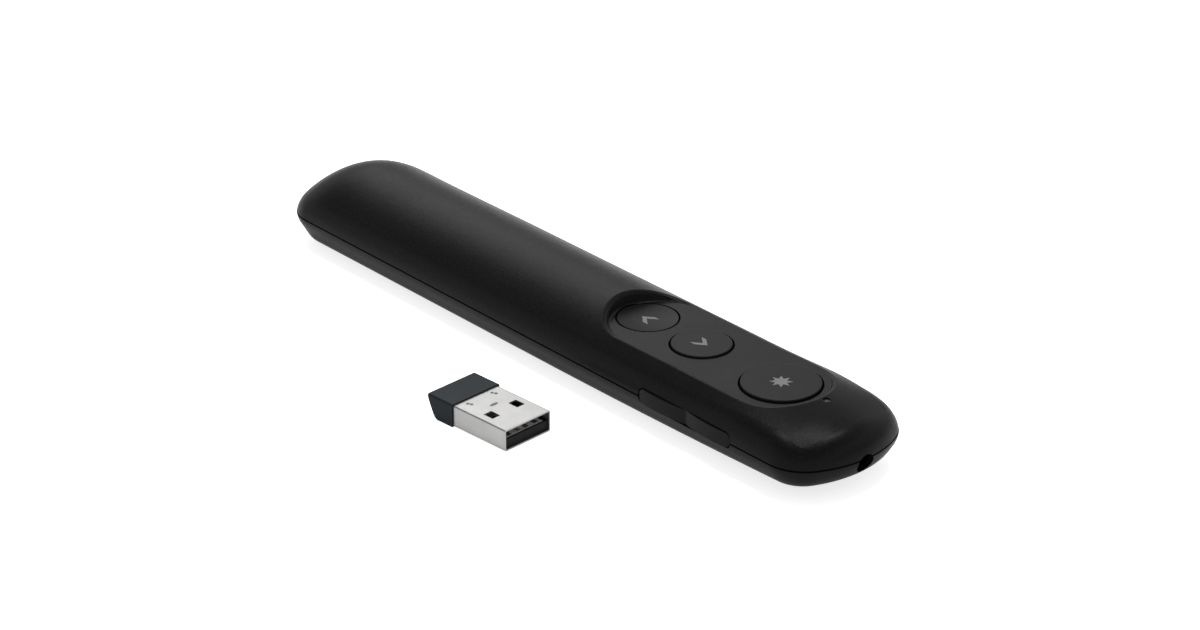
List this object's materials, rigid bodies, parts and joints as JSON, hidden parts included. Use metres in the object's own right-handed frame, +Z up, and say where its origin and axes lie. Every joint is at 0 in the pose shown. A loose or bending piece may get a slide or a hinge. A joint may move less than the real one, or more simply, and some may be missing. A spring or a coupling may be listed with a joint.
{
  "type": "wireless presentation clicker",
  "caption": "Slim wireless presentation clicker with round top buttons, a two-way side key and a laser nose, with its short USB-A receiver lying beside it.",
  "frame": {"origin": "middle of the handset's plan, on the flat that it rests on", "axes": "+X along the handset to the nose, where the laser leaves; +Z up from the table through the buttons; the side key is on the -Y side"},
  "size_m": [0.1598, 0.0573, 0.0162],
  "materials": {
    "shell_black": "fine matte texture",
    "button_black": "soft-touch, with pale printed marks on the round buttons",
    "side_key_black": "satin",
    "grey_plastic": "satin",
    "clear_plastic": "frosted",
    "board_green": "solder mask",
    "board_pale": "solder mask",
    "chip_black": "moulded epoxy",
    "tongue_black": "satin",
    "cap_slate": "satin",
    "plug_steel": "nickel plated, fine grain",
    "bright_steel": "bright",
    "gold": "gold plated",
    "barrel_brass": "turned",
    "lens_glass": "polished",
    "cell_case": "printed sleeve, bare of text",
    "wire_black": "insulation"
  },
  "bodies": {
    "handset": {"upper_shell": "shell_black", "lower_shell": "shell_black", "battery_cell": "cell_case", "main_board": "board_green", "board_screws": "bright_steel", "housing_screws": "bright_steel", "status_led": "board_pale", "light_guide": "clear_plastic", "radio_chip": "chip_black", "crystal_can": "bright_steel", "laser_barrel": "barrel_brass", "laser_lens": "lens_glass", "laser_diode": "bright_steel", "previous_switch": "bright_steel", "next_switch": "bright_steel", "laser_switch": "bright_steel", "side_switches": "chip_black", "power_switch": "bright_steel", "rocker_pin": "bright_steel", "negative_contact": "bright_steel", "positive_contact": "bright_steel", "negative_lead": "wire_black"},
    "battery_door": {"battery_door": "shell_black"},
    "previous_button": {"previous_button": "button_black", "previous_plunger": "grey_plastic"},
    "next_button": {"next_button": "button_black", "next_plunger": "grey_plastic"},
    "laser_button": {"laser_button": "button_black", "laser_plunger": "grey_plastic"},
    "side_rocker": {"side_rocker": "side_key_black"},
    "power_slider": {"power_slider": "side_key_black"},
    "receiver": {"receiver_shell": "plug_steel", "receiver_cap": "cap_slate", "receiver_tongue": "tongue_black", "receiver_contacts": "gold", "receiver_board": "board_pale", "receiver_chip": "chip_black"}
  },
  "joints": [
    {"name": "previous_press", "type": "slide", "parent": "handset", "child": "previous_button", "axis": [0, 0, -1], "range_m": [0, 0.0005], "stiffness_N_per_m": 2000},
    {"name": "next_press", "type": "slide", "parent": "handset", "child": "next_button", "axis": [0, 0, -1], "range_m": [0, 0.0005], "stiffness_N_per_m": 2000},
    {"name": "laser_press", "type": "slide", "parent": "handset", "child": "laser_button", "axis": [0, 0, -1], "range_m": [0, 0.0005], "stiffness_N_per_m": 2000},
    {"name": "side_key_turn", "type": "hinge", "parent": "handset", "child": "side_rocker", "pos_m": [0.04655, -0.01155, 0.0075], "axis": [0, 0, 1], "range_deg": [-1.6, 1.6], "stiffness_Nm_per_rad": 0.5},
    {"name": "power_slide", "type": "slide", "parent": "handset", "child": "power_slider", "axis": [1, 0, 0], "range_m": [0, 0.002]},
    {"name": "door_slide", "type": "slide", "parent": "handset", "child": "battery_door", "axis": [-1, 0, 0], "range_m": [0, 0.07]},
    {"name": "receiver_lift", "type": "slide", "parent": "handset", "child": "receiver", "axis": [0, 0, 1], "range_m": [0, 0.05]}
  ]
}
